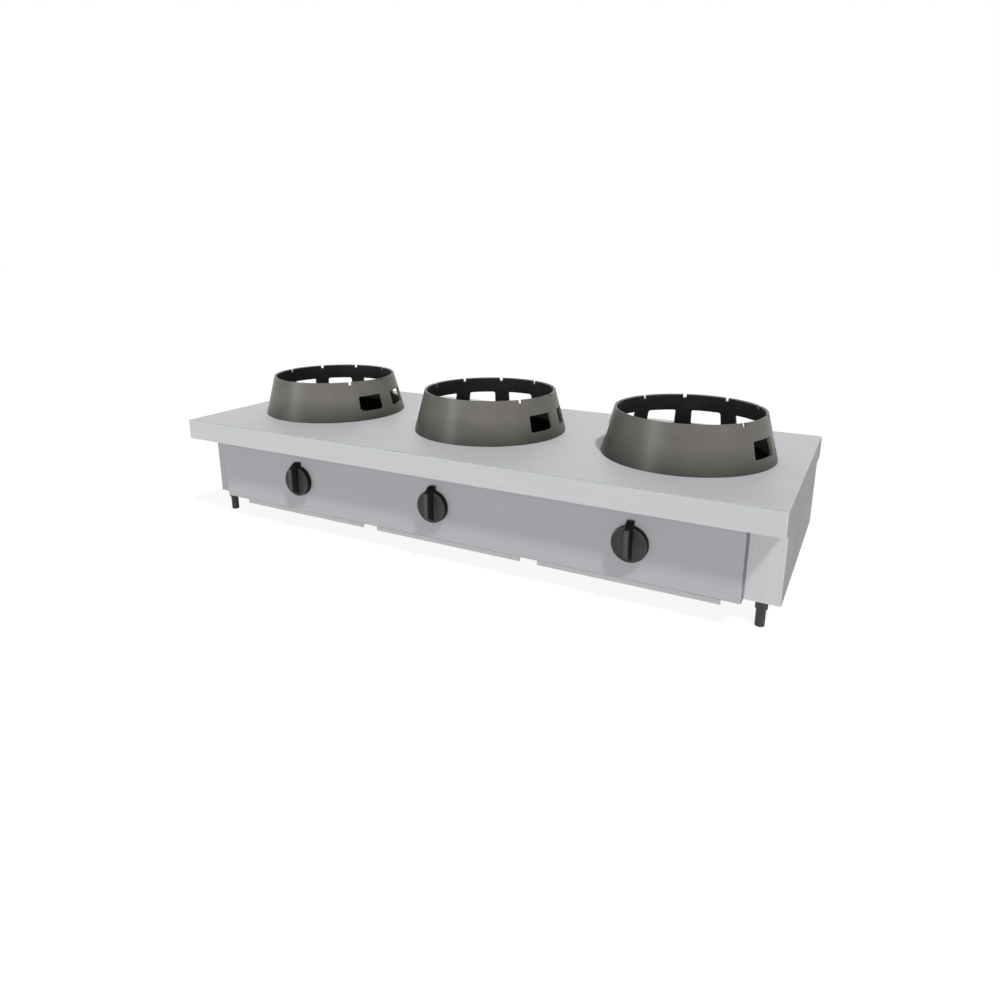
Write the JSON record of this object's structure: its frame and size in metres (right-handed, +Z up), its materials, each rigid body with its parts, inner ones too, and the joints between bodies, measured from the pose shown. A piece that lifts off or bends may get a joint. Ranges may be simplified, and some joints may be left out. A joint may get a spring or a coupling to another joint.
{
  "type": "wok range",
  "caption": "Table-top gas wok range: stainless worktop with raised slotted wok rings, set-back control panel with knobs, sliding drip trays and levelling feet.",
  "frame": {"origin": "on the floor under the middle of the worktop", "axes": "+X to the user's right along the worktop, +Y to the back, +Z up; the knobs face -Y"},
  "size_m": [1.5, 0.6, 0.371],
  "materials": {
    "stainless": "satin",
    "frame_steel": "zinc plated",
    "cast_iron": "matt enamel",
    "brass": "machined",
    "gas_pipe": "plain pipe",
    "tube_metal": "drawn tube",
    "knob_plastic": "fine grain",
    "foot_black": "black"
  },
  "bodies": {
    "base": {"burner_body_1": "cast_iron", "burner_body_2": "cast_iron", "burner_body_3": "cast_iron", "burner_bolts": "frame_steel", "burner_head_1": "cast_iron", "burner_head_2": "cast_iron", "burner_head_3": "cast_iron", "burner_rail_front": "frame_steel", "burner_rail_rear": "frame_steel", "control_panel": "stainless", "foot_nuts": "frame_steel", "gas_inlet_pipe": "gas_pipe", "gas_manifold": "gas_pipe", "gas_tube_1": "tube_metal", "gas_tube_2": "tube_metal", "gas_tube_3": "tube_metal", "gas_valve_1": "brass", "gas_valve_2": "brass", "gas_valve_3": "brass", "injector_holder_1": "brass", "injector_holder_2": "brass", "injector_holder_3": "brass", "inlet_elbow": "gas_pipe", "manifold_brackets": "frame_steel", "manifold_cap": "gas_pipe", "manifold_sockets": "gas_pipe", "panel_screws": "frame_steel", "pilot_burner_1": "frame_steel", "pilot_burner_2": "frame_steel", "pilot_burner_3": "frame_steel", "pilot_tubes": "tube_metal", "rear_panel": "stainless", "side_panel_left": "stainless", "side_panel_right": "stainless", "thermocouples": "tube_metal", "tray_runner_1": "stainless", "tray_runner_2": "stainless", "tray_runner_3": "stainless", "tray_runner_4": "stainless", "worktop": "stainless"},
    "tray_1": {"drip_tray_1": "stainless"},
    "ring_1": {"wok_ring_1": "cast_iron"},
    "push_1": {"spindle_collar_1": "frame_steel"},
    "knob_1": {"knob_1": "knob_plastic", "valve_spindle_1": "frame_steel"},
    "tray_2": {"drip_tray_2": "stainless"},
    "ring_2": {"wok_ring_2": "cast_iron"},
    "push_2": {"spindle_collar_2": "frame_steel"},
    "knob_2": {"knob_2": "knob_plastic", "valve_spindle_2": "frame_steel"},
    "tray_3": {"drip_tray_3": "stainless"},
    "ring_3": {"wok_ring_3": "cast_iron"},
    "push_3": {"spindle_collar_3": "frame_steel"},
    "knob_3": {"knob_3": "knob_plastic", "valve_spindle_3": "frame_steel"},
    "foot_front_left": {"foot_front_left": "foot_black"},
    "foot_front_right": {"foot_front_right": "foot_black"},
    "foot_rear_left": {"foot_rear_left": "foot_black"},
    "foot_rear_right": {"foot_rear_right": "foot_black"}
  },
  "joints": [
    {"name": "ring_lift_1", "type": "slide", "parent": "base", "child": "ring_1", "axis": [0, 0, 1], "range_m": [0, 0.12]},
    {"name": "ring_lift_2", "type": "slide", "parent": "base", "child": "ring_2", "axis": [0, 0, 1], "range_m": [0, 0.12]},
    {"name": "ring_lift_3", "type": "slide", "parent": "base", "child": "ring_3", "axis": [0, 0, 1], "range_m": [0, 0.12]},
    {"name": "tray_slide_1", "type": "slide", "parent": "base", "child": "tray_1", "axis": [0, -1, 0], "range_m": [0, 0.4]},
    {"name": "tray_slide_2", "type": "slide", "parent": "base", "child": "tray_2", "axis": [0, -1, 0], "range_m": [0, 0.4]},
    {"name": "tray_slide_3", "type": "slide", "parent": "base", "child": "tray_3", "axis": [0, -1, 0], "range_m": [0, 0.4]},
    {"name": "knob_push_1", "type": "slide", "parent": "base", "child": "push_1", "axis": [0, 1, 0], "range_m": [0, 0.0025], "stiffness_N_per_m": 1200, "springref_m": -0.004},
    {"name": "knob_push_2", "type": "slide", "parent": "base", "child": "push_2", "axis": [0, 1, 0], "range_m": [0, 0.0025], "stiffness_N_per_m": 1200, "springref_m": -0.004},
    {"name": "knob_push_3", "type": "slide", "parent": "base", "child": "push_3", "axis": [0, 1, 0], "range_m": [0, 0.0025], "stiffness_N_per_m": 1200, "springref_m": -0.004},
    {"name": "knob_turn_1", "type": "hinge", "parent": "push_1", "child": "knob_1", "pos_m": [-0.41, -0.27, 0.1406], "axis": [0, 1, 0], "range_deg": [-180, 0]},
    {"name": "knob_turn_2", "type": "hinge", "parent": "push_2", "child": "knob_2", "pos_m": [-0.006, -0.27, 0.1406], "axis": [0, 1, 0], "range_deg": [-180, 0]},
    {"name": "knob_turn_3", "type": "hinge", "parent": "push_3", "child": "knob_3", "pos_m": [0.46, -0.27, 0.1406], "axis": [0, 1, 0], "range_deg": [-180, 0]},
    {"name": "foot_front_left_height", "type": "slide", "parent": "base", "child": "foot_front_left", "axis": [0, 0, -1], "range_m": [0, 0.02]},
    {"name": "foot_front_right_height", "type": "slide", "parent": "base", "child": "foot_front_right", "axis": [0, 0, -1], "range_m": [0, 0.02]},
    {"name": "foot_rear_left_height", "type": "slide", "parent": "base", "child": "foot_rear_left", "axis": [0, 0, -1], "range_m": [0, 0.02]},
    {"name": "foot_rear_right_height", "type": "slide", "parent": "base", "child": "foot_rear_right", "axis": [0, 0, -1], "range_m": [0, 0.02]}
  ]
}
